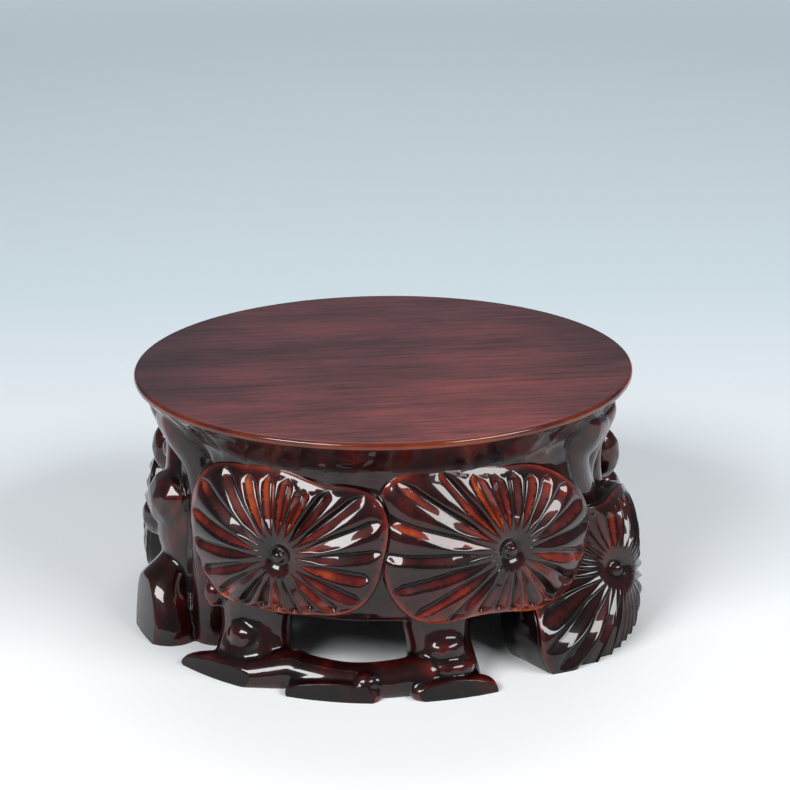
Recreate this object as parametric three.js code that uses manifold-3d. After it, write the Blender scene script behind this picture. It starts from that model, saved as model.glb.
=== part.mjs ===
// Carved round display stand of dark lacquered wood, made up of a turned top board on a ring
// of eight staves, with carved pine-needle clusters, knotted trunks and root feet.
// Millimetres, +Z up, origin on the floor under the middle of the top. Angles are in degrees,
// counted from +X towards +Y, so the front of the stand is at -90.
import * as THREE from "three";
import { mergeVertices } from "three/addons/utils/BufferGeometryUtils.js";
import Module from "manifold-3d";

// Driving dimensions
const topDiameter = 120;
const standHeight = 60;
const boardThickness = 10; // top board, from its face to the joint with the staves
const lipHeight = 0.6; // upright edge of the board above the cove
const edgeRound = 0.9; // rounding of the board's upper edge
const lipOverhang = 9.6; // how far the lip reaches out over the neck of the cove
const coveHeight = 12; // from the neck up to the lip
const spigotDepth = 2; // raised disc under the board that centres the ring of staves
const spigotClearance = 0.3;
const wallThickness = 6.8; // staves, at the neck
const wallFlare = 3; // how much further out a stave's lower edge stands than its neck
const trunkSwell = 1.2; // how much thicker the staves behind the knotted trunks are
const drumSwell = 3.6; // and those behind the panels' clusters
const archHeight = 16; // floor to the lower edge of the staves
const footOverhang = 3.6; // how far the root feet reach out beyond the lip
const footTaper = 0.13; // the blank's outside leans in by this much for each millimetre up
const footFlat = 14; // how far up from the floor that outside is left on the feet
const footDepth = 17.5; // how deep a foot is, from its toe towards the middle
const glueLine = 0.1; // between glued neighbours
const carvedGap = 0.3; // between the low cluster's post and the panel that it laps over
const dowelDiameter = 4;
const dowelLength = 12;
const dowelFit = 0.1; // hole radius over dowel radius
const shortestEdge = 0.02; // carving leaves no facet edge shorter than this

// Pine-needle clusters
const clusterSize = 25; // from the middle to the rim, before the outline's own shape
const clusterStand = 4.2; // how far a panel cluster's rim stands out from the wall's lower edge
const highClusterCrown = 1.9; // height of the domed middle over the rim, on the panels
const lowClusterCrown = 5.4; // and on the posts
const clusterDish = 1.1; // depth of the smooth dish in the middle
const gougeDepth = 1.15;
const gougeCount = 22;
const clusterSink = 5; // how far its body goes into the wood behind
const highClusterLift = 15.5; // from the staves' lower edge to the middle of a panel's cluster
const lowClusterLift = 18.2; // from the floor to the middle of a post's cluster
const lowClusterStand = 6.2; // how far a post cluster's rim stands out from the wall's edge
const edgeStep = 0.8; // how far a cluster that goes under another lies below its edge
const flankRise = 0.8; // slope with which it rises from there
const flankBlend = 3; // how softly that slope runs into its dome

// Where the joints between neighbours are
const trunkJoint = -141;
const panelJoint = -88.5;
const postJoint = -34;
const rootJointLeft = -112;
const rootJointRight = -85.5;
const legEnd = -58; // the right leg's side towards the post

const wasm = await Module();
wasm.setup();

const deg = THREE.MathUtils.degToRad;
const neckRadius = topDiameter / 2 - lipOverhang;
const footRadius = topDiameter / 2 + footOverhang;
const jointHeight = standHeight - boardThickness;
const coveTop = standHeight - edgeRound - lipHeight;
const neckHeight = coveTop - coveHeight;
const wallInner = neckRadius - wallThickness;
const wallFoot = neckRadius + wallFlare;
const reach = 2 * topDiameter; // longer than anything in the stand

// A point at an angle round the stand, a distance from its axis and a height.
function place(angle, radius, height) {
  return new THREE.Vector3(radius * Math.cos(deg(angle)), radius * Math.sin(deg(angle)), height);
}

function solid(geometry) {
  const bare = geometry.index ? geometry.toNonIndexed() : geometry.clone();
  bare.deleteAttribute("normal");
  bare.deleteAttribute("uv");
  const merged = mergeVertices(bare, 1e-4);
  return new wasm.Manifold(
    new wasm.Mesh({
      numProp: 3,
      vertProperties: merged.attributes.position.array,
      triVerts: new Uint32Array(merged.index.array),
      tolerance: shortestEdge,
    }),
  );
}

function meshGeometry(body) {
  const mesh = body.getMesh();
  const geometry = new THREE.BufferGeometry();
  geometry.setAttribute("position", new THREE.BufferAttribute(mesh.vertProperties, 3));
  geometry.setIndex(new THREE.BufferAttribute(mesh.triVerts, 1));
  geometry.computeVertexNormals();
  return geometry;
}

function join(bodies) {
  return bodies.reduce((whole, body) => whole.add(body));
}

// The piece itself, without the crumbs and pockets that carving leaves where forms graze.
function largest(body) {
  return body.decompose().reduce((most, other) => (other.volume() > most.volume() ? other : most));
}

function revolve(profile, segments) {
  const turned = new THREE.LatheGeometry(profile.map(([r, z]) => new THREE.Vector2(r, z)), segments);
  return solid(turned.rotateX(Math.PI / 2));
}

// A slice of the stand between two angles and two heights, held back by half a glue line
// from each of its two upright joints.
function sector(from, to, low, high) {
  const half = deg((to - from) / 2);
  const apex = place((from + to) / 2, glueLine / 2 / Math.sin(half), 0);
  const ends = [from, (from + to) / 2, to].map((a) => place(a, reach, 0).add(apex));
  const outline = new THREE.Shape([apex, ...ends].map((p) => new THREE.Vector2(p.x, p.y)));
  const slab = new THREE.ExtrudeGeometry(outline, { depth: high - low, bevelEnabled: false });
  return solid(slab.translate(0, 0, low));
}

// Joins rings of points into a closed skin that ends in a point before the first ring and
// one after the last.
function loft(rings, tips) {
  const sides = rings[0].length;
  const points = [...rings.flat(), ...tips];
  const faces = [];
  for (let k = 0; k + 1 < rings.length; k++) {
    for (let i = 0; i < sides; i++) {
      const a = k * sides + i;
      const b = k * sides + ((i + 1) % sides);
      faces.push(a, b + sides, b, a, a + sides, b + sides);
    }
  }
  const last = (rings.length - 1) * sides;
  for (let i = 0; i < sides; i++) {
    const next = (i + 1) % sides;
    faces.push(points.length - 2, i, next);
    faces.push(points.length - 1, last + next, last + i);
  }
  const geometry = new THREE.BufferGeometry().setFromPoints(points);
  geometry.setIndex(faces);
  return solid(geometry);
}

// A carved branch or root: round sections along a smooth line through its stations, each
// [angle, radius, height, half thickness], with rounded ends.
function limb(stations) {
  const sides = 9;
  const ringSpacing = 6;
  const path = new THREE.CatmullRomCurve3(stations.map(([a, r, z]) => place(a, r, z)));
  const sizes = new THREE.CatmullRomCurve3(stations.map((s) => new THREE.Vector3(s[3], 0, 0)));
  path.curveType = "catmullrom";
  sizes.curveType = "catmullrom";
  const section = (t, beyond, share) => {
    const along = path.getTangent(t);
    const size = share * sizes.getPoint(t).x;
    const centre = path.getPoint(t).addScaledVector(along, beyond * sizes.getPoint(t).x);
    const over = new THREE.Vector3(centre.x, centre.y, 0).normalize();
    over.addScaledVector(along, -over.dot(along)).normalize();
    const side = new THREE.Vector3().crossVectors(over, along);
    const points = [];
    for (let i = 0; i < sides; i++) {
      const turn = (-2 * Math.PI * i) / sides;
      const point = centre.clone().addScaledVector(side, size * Math.cos(turn));
      points.push(point.addScaledVector(over, size * Math.sin(turn)));
    }
    return points;
  };
  const count = Math.round(path.getLength() / ringSpacing);
  const rings = [section(0, -0.6, 0.7)];
  for (let i = 0; i <= count; i++) rings.push(section(i / count, 0, 1));
  rings.push(section(1, 0.6, 0.7));
  const end = (t, beyond) => {
    return path.getPoint(t).addScaledVector(path.getTangent(t), beyond * sizes.getPoint(t).x);
  };
  return loft(rings, [end(0, -0.95), end(1, 0.95)]);
}

// A rounded lump, such as a burr on a trunk: half sizes round, out from and up the stand.
function knot(angle, radius, height, round, out, up, lean = 0) {
  const lump = new THREE.SphereGeometry(1, 9, 6).rotateX(Math.PI / 2);
  lump.scale(out, round, up).rotateX(deg(lean)).rotateZ(deg(angle));
  const centre = place(angle, radius, height);
  return solid(lump.translate(centre.x, centre.y, centre.z));
}

// The outline of a cluster: how far its rim is from its middle in one direction, smooth
// through the shares of the cluster size that its outline gives at equal turns.
function rimDistance(cluster, turn, margin = 0) {
  const shares = cluster.outline;
  const step = (((turn / (2 * Math.PI)) * shares.length) % shares.length) + shares.length;
  const i = Math.floor(step);
  const t = step - i;
  const [a, b, c, d] = [-1, 0, 1, 2].map((k) => shares[(i + k) % shares.length]);
  const bend = (-a + 3 * b - 3 * c + d) * t ** 3 + (2 * a - 5 * b + 4 * c - d) * t ** 2;
  return clusterSize * (b + 0.5 * (bend + (c - a) * t)) + margin;
}

// One ring of points on a cluster, at a share of the way to its rim. It bends round the stand.
function clusterRing(cluster, sides, share, out, margin = 0) {
  const points = [];
  for (let i = 0; i < sides; i++) {
    const turn = (2 * Math.PI * (i + cluster.spin)) / sides;
    const size = share * rimDistance(cluster, turn, margin);
    const along = size * Math.cos(turn);
    const up = size * Math.sin(turn);
    const back = cluster.leanBack * Math.max(0, up) ** 2;
    const leaned = out(i, along, up) - back - cluster.flare * Math.min(0, up);
    const angle = cluster.angle + THREE.MathUtils.radToDeg(along / cluster.rim);
    points.push(place(angle, cluster.rim + leaned, cluster.height + up));
  }
  return points;
}

// A pine-needle cluster: a boss with a domed face, a smooth dish in the middle and gouges
// that run out from the dish to the rim. One that lies partly behind another falls away
// towards the other's edge.
function pineCluster(cluster, front = null) {
  const perGouge = 3;
  const levels = [
    [0.2, 0], // share of the way to the rim, share of the gouge depth
    [0.4, 1],
    [0.88, 0.9],
    [1, 0.4],
  ];
  const face = (share, cut) => (i, along, up) => {
    const dome = cluster.crown * (1 - share ** cluster.fall);
    const flank = front ? behind(front, cluster, along, up) : Infinity;
    const near = Math.max(0, flankBlend - Math.abs(dome - flank));
    const valley = i % perGouge === 0 ? cut * gougeDepth : 0;
    return Math.min(dome, flank) - near ** 2 / (4 * flankBlend) - valley;
  };
  const sides = gougeCount * perGouge;
  const rings = levels.map(([share, cut]) => clusterRing(cluster, sides, share, face(share, cut)));
  rings.push(clusterRing(cluster, sides, 1, () => -cluster.sink));
  const middle = cluster.rim + cluster.crown - clusterDish;
  const tips = [
    place(cluster.angle, middle, cluster.height),
    place(cluster.angle, cluster.rim - cluster.sink, cluster.height),
  ];
  return loft(rings, tips);
}

// How far beyond its own rim a cluster may stand beside the edge of the cluster in front: a
// little below that edge, rising away from it.
function behind(front, cluster, along, up) {
  const across = deg(cluster.angle - front.angle) * front.rim + (along * front.rim) / cluster.rim;
  const above = cluster.height + up - front.height;
  const clear = Math.hypot(across, above) - rimDistance(front, Math.atan2(above, across));
  return front.rim - edgeStep - cluster.rim + flankRise * Math.max(0, clear);
}

// The room that a cluster takes up, with a clearance all round.
function clusterRoom(cluster, clearance) {
  const sides = 36;
  const out = cluster.crown + clearance;
  const back = -cluster.sink - clearance;
  const rings = [out, back].map((o) => clusterRing(cluster, sides, 1, () => o, clearance));
  return loft(rings, [out, back].map((o) => place(cluster.angle, cluster.rim + o, cluster.height)));
}

// The cove under the board's lip: narrowest at the neck, curving out towards the lip.
function coveRadius(height) {
  const t = (height - neckHeight) / coveHeight;
  return neckRadius + lipOverhang * (0.75 * t + 0.25 * t * t);
}

const aroundRing = 48; // facets round the ring of staves

// The ring of staves as one turned piece, before it is divided. Where it carries carving it
// swells out like a drum below the neck.
function wall(swell = 0, grow = 0, low = archHeight) {
  const middleHeight = (archHeight + neckHeight) / 2;
  return revolve(
    [
      [wallInner, low],
      [wallFoot + 0.35 * swell + grow, low],
      [wallFoot + 0.8 * swell + grow, archHeight + 3],
      [neckRadius + 0.75 * wallFlare + swell + grow, middleHeight],
      [neckRadius + 0.15 * wallFlare + swell + grow, neckHeight - 5],
      [neckRadius + 0.9 * swell + grow, neckHeight],
      [coveRadius(jointHeight) + 0.15 * swell + grow, jointHeight],
      [wallInner, jointHeight],
      [wallInner, low],
    ],
    aroundRing,
  );
}

const floorCut = solid(new THREE.BoxGeometry(reach, reach, reach).translate(0, 0, -reach / 2));
const hollow = revolve([[0, -reach], [wallInner, -reach], [wallInner, reach], [0, reach]], aroundRing);

// The outside of the blank, which is left as flats on the toes.
const blank = revolve(
  [
    [0, -1],
    [footRadius + footTaper, -1],
    [footRadius - footTaper * footFlat, footFlat],
    [reach, footFlat],
    [reach, reach],
    [0, reach],
  ],
  aroundRing,
);

// Carved wood between two joints: what the parts add up to, without the hollow and the floor.
function carved(parts, region) {
  return largest(join(parts).intersect(region).intersect(blank).subtract(floorCut).subtract(hollow));
}

// A straight hole or dowel along Z.
function peg(angle, radius, low, high, pegRadius) {
  const round = new THREE.CylinderGeometry(pegRadius, pegRadius, high - low, 10);
  const centre = place(angle, radius, (low + high) / 2);
  return solid(round.rotateX(Math.PI / 2).translate(centre.x, centre.y, centre.z));
}

// Where the dowels are: one from each stave up into the board, and one from each short leg
// up into the panel over it.
const boardDowels = [-163, -115, -61, -17].map((angle) => {
  return { angle, radius: wallInner + wallThickness / 2, joint: jointHeight };
});
const legDowels = [-130, -79.5].map((angle) => {
  return { angle, radius: (wallInner + wallFoot) / 2, joint: archHeight };
});

function dowel({ angle, radius, joint }) {
  return peg(angle, radius, joint - dowelLength / 2, joint + dowelLength / 2, dowelDiameter / 2);
}

// Holes for the dowels that lie between two angles, a little deeper and wider than they are.
function drill(body, dowels, from, to) {
  const half = dowelLength / 2 + 3 * dowelFit;
  const holes = dowels.filter(({ angle }) => angle > from && angle < to);
  return holes.reduce((left, { angle, radius, joint }) => {
    return left.subtract(peg(angle, radius, joint - half, joint + half, dowelDiameter / 2 + dowelFit));
  }, body);
}

const toe = footRadius;
const heel = footRadius - footDepth;
const high = {
  height: archHeight + highClusterLift,
  rim: wallFoot + clusterStand,
  crown: highClusterCrown,
  fall: 3,
  leanBack: 0.012,
  flare: 0,
  sink: clusterSink,
};
const highLeft = {
  ...high,
  angle: -114,
  spin: 0,
  outline: [0.94, 1.06, 0.76, 0.74, 0.84, 1.12, 1.05, 0.93, 0.64, 0.56, 0.62, 0.85],
};
const highRight = {
  ...high,
  angle: -61.4,
  spin: 1.4,
  outline: [1.07, 0.9, 0.78, 0.73, 0.9, 1.32, 1.2, 1.07, 0.68, 0.61, 0.77, 0.99],
};
const low = {
  height: lowClusterLift,
  rim: wallFoot + lowClusterStand,
  crown: lowClusterCrown,
  fall: 2.2,
  leanBack: 0.004,
  flare: 0.16,
  sink: footDepth - 3,
  angle: -30,
  spin: 0.7,
  outline: [0.98, 0.97, 0.74, 0.62, 0.7, 0.9, 0.94, 1.17, 1.16, 0.94, 0.95, 1],
};

// The left panel also has the tip of the right cluster, which goes under its own.
function leftPanel() {
  const parts = [wall(drumSwell), pineCluster(highLeft), pineCluster(highRight, highLeft)];
  return carved(parts, sector(trunkJoint, panelJoint, archHeight, jointHeight));
}

function rightPanel() {
  const parts = [wall(drumSwell), pineCluster(highRight, highLeft)];
  return carved(parts, sector(panelJoint, postJoint, archHeight, jointHeight));
}

// The strands of trunk over the low cluster, which twist round each other under the cove.
const strands = [
  [
    [-31.5, neckRadius + 4, jointHeight + 1.5, 5],
    [-33.6, neckRadius + 1.8, neckHeight + 0.5, 4.6],
    [-32, neckRadius + 1.2, neckHeight - 5.5, 4.2],
    [-29, neckRadius + 1, neckHeight - 11.5, 4.3],
    [-27, neckRadius + 0.6, neckHeight - 18.5, 4.7],
  ],
  [
    [-21, neckRadius + 2.8, jointHeight + 0.5, 4.2],
    [-24.5, neckRadius + 1, neckHeight - 1.5, 4],
    [-27, neckRadius + 0.4, neckHeight - 7.5, 3.8],
    [-24, neckRadius + 0.2, neckHeight - 13.5, 4.3],
    [-21, neckRadius + 0.2, neckHeight - 20.5, 5],
  ],
  [
    [-11.5, neckRadius + 1.4, neckHeight + 2.5, 4],
    [-13, neckRadius - 0.4, neckHeight - 4.5, 3.7],
    [-15, neckRadius - 0.6, neckHeight - 11.5, 4.3],
    [-14, neckRadius - 0.2, neckHeight - 20.5, 5.5],
    [-13, neckRadius + 0.6, archHeight, 6.5],
  ],
];

// A post with the low cluster: its stave with three strands of trunk and a burr, and the boss
// that runs down to the floor and laps over the panel beside it.
function clusterPost() {
  const burr = knot(-4.5, neckRadius + 2.4, neckHeight - 9.1, 4.9, 4.9, 7, 8);
  const stave = join([wall(), ...strands.map(limb), burr])
    .intersect(sector(postJoint, 0, archHeight, jointHeight));
  const panelRoom = wall(drumSwell, carvedGap, archHeight - carvedGap)
    .intersect(sector(panelJoint, postJoint, 0, jointHeight))
    .add(clusterRoom(highRight, carvedGap));
  const boss = pineCluster(low, highRight)
    .intersect(sector(legEnd, 0, 0, jointHeight))
    .subtract(panelRoom);
  return largest(stave.add(boss).subtract(floorCut).subtract(hollow));
}

// A knotted trunk: a smooth upright strip beside the panel, a second trunk with burls behind
// it, and a heavy foot that the blank's outside cuts flat.
function trunkPost() {
  const parts = [
    wall(trunkSwell).intersect(sector(-180, trunkJoint, archHeight, jointHeight)),
    limb([
      [-154, neckRadius + 2, jointHeight + 0.5, 5],
      [-150.5, neckRadius - 0.4, neckHeight - 1.5, 4.3],
      [-148, neckRadius - 1, neckHeight - 10, 4],
      [-146.5, neckRadius - 0.8, neckHeight - 22, 4.2],
      [-146, neckRadius - 1, archHeight - 1, 5.4],
      [-148, neckRadius - 2.4, 0, 6.6],
    ]),
    limb([
      [-169, neckRadius + 1.6, jointHeight, 4.2],
      [-168, neckRadius - 0.8, neckHeight - 2.5, 4.4],
      [-163, neckRadius - 0.4, neckHeight - 9.5, 5.4],
      [-161, neckRadius + 0.2, neckHeight - 16.5, 6.8],
      [-162, neckRadius + 0.4, neckHeight - 23.5, 7],
      [-160, neckRadius - 0.4, archHeight - 1, 7.8],
      [-158, neckRadius - 0.4, 0, 8],
    ]),
    knot(-173, neckRadius, neckHeight - 5.9, 4.3, 3.9, 3.5, 10),
    knot(-165.5, neckRadius + 2, neckHeight - 15.5, 8.5, 6.4, 7.8, 22),
    knot(-171.5, neckRadius + 3.4, neckHeight - 22.1, 6.8, 6.1, 5.5, -14),
    limb([
      [-161.5, heel + 5.2, archHeight + 2.6, 4],
      [-160.6, heel + 7.4, archHeight - 1.4, 5.8],
      [-159.4, heel + 10, archHeight - 6.4, 8.2],
      [-158, heel + 10.6, 4.6, 9],
      [-157, heel + 10.6, -0.5, 9.2],
    ]),
  ];
  return carved(parts, sector(-180, trunkJoint, 0, jointHeight));
}

// A short leg under the left panel: a broad block with a burr, on a toe that points both ways.
function leftLeg() {
  const parts = [
    limb([
      [-130.5, heel + 4.4, archHeight + 4, 6],
      [-130, heel + 4.8, archHeight - 5, 6],
      [-129.5, heel + 6, 5, 7],
      [-129.5, heel + 6.6, 1, 8],
    ]),
    limb([
      [-121.5, heel + 4.4, archHeight + 4, 6],
      [-121.5, heel + 4.8, archHeight - 5, 5.6],
      [-121, heel + 6, 5, 6.6],
      [-120.5, heel + 6.6, 1, 7.6],
    ]),
    limb([
      [-138.5, toe - 1.8, 0.4, 1.4],
      [-131, toe - 3.8, 1.2, 3.8],
      [-124.5, toe - 4, 1.3, 4.5],
      [-118.5, toe - 6.2, 2, 4.7],
      [-112.5, toe - 7.8, 2.8, 4.8],
      [-107, toe - 8, 3, 4.5],
    ]),
    knot(-125, heel + 9.2, 8.7, 4.9, 4.4, 4.4),
    knot(-134.4, heel + 9.2, archHeight - 0.4, 3.1, 2.8, 3.5),
  ];
  return carved(parts, sector(trunkJoint, rootJointLeft, 0, archHeight - glueLine));
}

// A short leg under the right panel, with two ledges over a blunt toe.
function rightLeg() {
  const parts = [
    limb([
      [-80.5, heel + 4.4, archHeight + 4, 5.8],
      [-80, heel + 5, archHeight - 5, 5.8],
      [-79.5, heel + 6.6, 4, 7.2],
      [-79, heel + 6.8, 1, 8],
    ]),
    limb([
      [-73.5, heel + 4.4, archHeight + 4, 5.6],
      [-73.5, heel + 5, archHeight - 5, 5.4],
      [-73, heel + 6.6, 4, 6.8],
      [-72.5, heel + 6.8, 1, 7.6],
    ]),
    limb([
      [-84, toe - 5.6, 1.2, 3.2],
      [-80, toe - 3.2, 1.2, 3.6],
      [-75, toe - 2.4, 1, 3.9],
      [-70, toe - 3, 0.4, 3.7],
      [-66.4, toe - 3.6, -0.4, 3],
    ]),
    limb([
      [-90, toe - 7.2, 2.6, 4.2],
      [-84, toe - 7.2, 3.2, 4.7],
      [-79, toe - 7.6, 4.4, 4.8],
    ]),
    knot(-76.4, heel + 9.5, 9.4, 5, 4, 3.2, 6),
    knot(-75.6, heel + 11.3, 5.4, 5.7, 4, 2.8, -4),
  ];
  return carved(parts, sector(rootJointRight, legEnd, 0, archHeight - glueLine));
}

// The root that lies on the floor between the two short legs, with a sawn outer side.
function floorRoot() {
  const parts = [
    limb([
      [-118, toe - 8.6, 2.8, 4.6],
      [-108, toe - 7.2, 2.6, 4.6],
      [-100, toe - 6.6, 2.2, 4.5],
      [-92, toe - 6.8, 2.4, 4.5],
      [-80, toe - 8.2, 3.2, 4.6],
    ]),
    limb([
      [-109.6, toe - 2.8, 0.7, 2.6],
      [-106, toe - 2.2, 0.8, 3.2],
      [-101, toe - 1.6, 0.9, 3.4],
      [-96, toe - 2, 0.9, 3.1],
      [-92, toe - 3.8, 0.8, 2.5],
    ]),
    knot(-94.4, toe - 3.2, 3.4, 2.8, 2.4, 2.6),
  ];
  return carved(parts, sector(rootJointLeft, rootJointRight, 0, archHeight - 4));
}

// The turned top board: a flat face, a rounded lip, the upper part of the cove, and under it
// the spigot that sits inside the ring of staves.
function topBoard() {
  const rim = topDiameter / 2;
  const spigot = wallInner - spigotClearance;
  const profile = [
    [0, jointHeight - spigotDepth],
    [spigot, jointHeight - spigotDepth],
    [spigot, jointHeight],
  ];
  const coveSteps = 3;
  for (let i = 0; i <= coveSteps; i++) {
    const height = jointHeight + ((coveTop - jointHeight) * i) / coveSteps;
    profile.push([coveRadius(height), height]);
  }
  const roundSteps = 2;
  for (let i = 0; i <= roundSteps; i++) {
    const turn = (Math.PI / 2) * (i / roundSteps);
    const inset = edgeRound * (1 - Math.cos(turn));
    profile.push([rim - inset, standHeight - edgeRound * (1 - Math.sin(turn))]);
  }
  profile.push([0, standHeight]);
  return revolve(profile, aroundRing);
}

const lacquer = new THREE.MeshStandardMaterial({ color: 0x3a0d0a, roughness: 0.12, metalness: 0 });
const satinFace = new THREE.MeshStandardMaterial({ color: 0x5a2424, roughness: 0.45, metalness: 0 });
const dowelWood = new THREE.MeshStandardMaterial({ color: 0xb98a5a, roughness: 0.8, metalness: 0 });

const stand = new THREE.Group();

function addPiece(name, body, material, parent = stand) {
  const mesh = new THREE.Mesh(meshGeometry(body), material);
  mesh.name = name;
  parent.add(mesh);
}

// The pieces of one half of the stand, drilled for their dowels. The other half is the same,
// half a turn round, so each piece has a name for either half.
const pieces = [
  {
    names: ["front_left_panel", "back_right_panel"],
    body: drill(leftPanel(), [...boardDowels, ...legDowels], trunkJoint, panelJoint),
  },
  {
    names: ["front_right_panel", "back_left_panel"],
    body: drill(rightPanel(), [...boardDowels, ...legDowels], panelJoint, postJoint),
  },
  {
    names: ["right_cluster_post", "left_cluster_post"],
    body: drill(clusterPost(), boardDowels, postJoint, 0),
  },
  {
    names: ["left_trunk_post", "right_trunk_post"],
    body: drill(trunkPost(), boardDowels, -180, trunkJoint),
  },
  {
    names: ["front_left_leg", "back_right_leg"],
    body: drill(leftLeg(), legDowels, trunkJoint, rootJointLeft),
  },
  {
    names: ["front_right_leg", "back_left_leg"],
    body: drill(rightLeg(), legDowels, rootJointRight, legEnd),
  },
  { names: ["front_floor_root", "back_floor_root"], body: floorRoot() },
];

const otherHalf = (dowels) => dowels.map((one) => ({ ...one, angle: one.angle + 180 }));
const holes = [...boardDowels, ...otherHalf(boardDowels)];
addPiece("top_board", drill(topBoard(), holes, -180, 180), satinFace);

["front", "back"].forEach((side, i) => {
  const half = new THREE.Group();
  half.rotation.z = i * Math.PI;
  stand.add(half);
  for (const { names, body } of pieces) addPiece(names[i], body, lacquer, half);
  boardDowels.forEach((one, k) => {
    addPiece(`${side}_board_dowel_${k + 1}`, dowel(one), dowelWood, half);
  });
  legDowels.forEach((one, k) => {
    addPiece(`${side}_leg_dowel_${k + 1}`, dowel(one), dowelWood, half);
  });
});

export default stand;
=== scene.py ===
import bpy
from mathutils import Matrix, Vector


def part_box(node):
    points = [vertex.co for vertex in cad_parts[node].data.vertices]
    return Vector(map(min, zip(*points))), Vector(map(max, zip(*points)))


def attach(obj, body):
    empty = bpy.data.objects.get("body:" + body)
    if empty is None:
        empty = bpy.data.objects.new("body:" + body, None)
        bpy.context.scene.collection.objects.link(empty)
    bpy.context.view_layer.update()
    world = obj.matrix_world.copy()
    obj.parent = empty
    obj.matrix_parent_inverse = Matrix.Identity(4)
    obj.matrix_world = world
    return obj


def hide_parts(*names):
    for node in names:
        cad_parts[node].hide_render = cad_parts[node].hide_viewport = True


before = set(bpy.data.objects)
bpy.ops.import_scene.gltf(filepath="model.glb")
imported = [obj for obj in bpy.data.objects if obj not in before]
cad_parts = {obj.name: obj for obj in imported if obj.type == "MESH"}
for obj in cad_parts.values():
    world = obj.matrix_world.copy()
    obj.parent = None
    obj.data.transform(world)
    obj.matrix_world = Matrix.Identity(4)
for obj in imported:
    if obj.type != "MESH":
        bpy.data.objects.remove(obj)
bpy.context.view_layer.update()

import math

import bmesh
import bpy
import numpy as np
from mathutils import Matrix, Vector


# The top board: a disc of dark red hardwood turned on a lathe, with a flat face, a rounded lip
# and a hollowed cove, over a spigot that centres the ring of staves. The face is rubbed down
# to a satin sheen over fine straight grain, and its edge keeps the gloss.
metre = 1000  # in millimetres, which every size is in until its piece is finished
board_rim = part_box("top_board")[1].x * metre
stand_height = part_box("top_board")[1].z * metre
joint_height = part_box("front_left_panel")[1].z * metre
lip_height = 0.6
edge_round = 0.9
neck_radius = 50.4
cove_height = 12
wall_thickness = 6.8
wall_inner = neck_radius - wall_thickness
cove_top = stand_height - edge_round - lip_height
neck_height = cove_top - cove_height


def turned(profile, steps):
    shape = bmesh.new()
    line = [shape.verts.new((radius, 0, height)) for radius, height in profile]
    edges = [shape.edges.new(pair) for pair in zip(line, line[1:])]
    bmesh.ops.spin(
        shape, geom=line + edges, cent=(0, 0, 0), axis=(0, 0, 1), dvec=(0, 0, 0),
        angle=2 * math.pi, steps=steps, use_merge=True, use_normal_flip=False, use_duplicate=False,
    )
    bmesh.ops.remove_doubles(shape, verts=shape.verts, dist=1e-4)
    bmesh.ops.recalc_face_normals(shape, faces=shape.faces)
    return shape


class Strand:
    """A socket in a finish's nodes. Sums on it add Math nodes, and node() adds any other."""

    def __init__(self, tree, socket=None):
        self.tree = tree
        self.socket = socket

    def node(self, kind, settings=None, inputs=None, out=0):
        made = self.tree.nodes.new(kind)
        for name, value in (settings or {}).items():
            if name == "stops":
                ramp = made.color_ramp.elements
                while len(ramp) < len(value):
                    ramp.new(0.5)
                for stop, (place, colour) in zip(ramp, value):
                    stop.position = place
                    stop.color = (*colour, 1)
            else:
                setattr(made, name, value)
        for name, value in (inputs or {}).items():
            if isinstance(value, Strand):
                self.tree.links.new(value.socket, made.inputs[name])
            else:
                made.inputs[name].default_value = value
        return Strand(self.tree, made.outputs[out]) if made.outputs else made

    def math(self, operation, first, second):
        return self.node("ShaderNodeMath", {"operation": operation}, {0: first, 1: second})

    def __add__(self, other):
        return self.math("ADD", self, other)

    def __radd__(self, other):
        return self.math("ADD", other, self)

    def __sub__(self, other):
        return self.math("SUBTRACT", self, other)

    def __rsub__(self, other):
        return self.math("SUBTRACT", other, self)

    def __mul__(self, other):
        return self.math("MULTIPLY", self, other)

    def __rmul__(self, other):
        return self.math("MULTIPLY", other, self)

    def between(self, low, high):
        return self.node("ShaderNodeMapRange", {"interpolation_type": "SMOOTHSTEP"},
                         {"Value": self, "From Min": low, "From Max": high})

    def part(self, number):
        """One number of a place: 0 is sideways, 1 is back and 2 is up."""
        return self.node("ShaderNodeSeparateXYZ", None, {"Vector": self}, number)

    def length(self):
        return self.node("ShaderNodeVectorMath", {"operation": "LENGTH"}, {0: self}, 1)

    def times(self, factors):
        """A place or colour with each of its three numbers multiplied by a factor of its own."""
        return self.node("ShaderNodeVectorMath", {"operation": "MULTIPLY"}, {0: self, 1: factors})

    def noise(self, place, scale, detail=3, roughness=0.5):
        """Noise at a place. A scale of three numbers also stretches it along the axes."""
        if isinstance(scale, tuple):
            place = self.node("ShaderNodeMapping", None, {"Vector": place, "Scale": scale})
            scale = 1.0
        return self.node("ShaderNodeTexNoise", None, {
            "Vector": place, "Scale": scale, "Detail": detail, "Roughness": roughness})

    def mix(self, share, first, second):
        """Two colours mixed, through the Mix node's colour sockets 6 and 7 and its output 2."""
        return self.node("ShaderNodeMix", {"data_type": "RGBA"}, {0: share, 6: first, 7: second}, 2)


def new_finish(name):
    finish = bpy.data.materials.new(name)
    finish.use_nodes = True
    finish.node_tree.nodes.clear()
    return finish, Strand(finish.node_tree)


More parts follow.
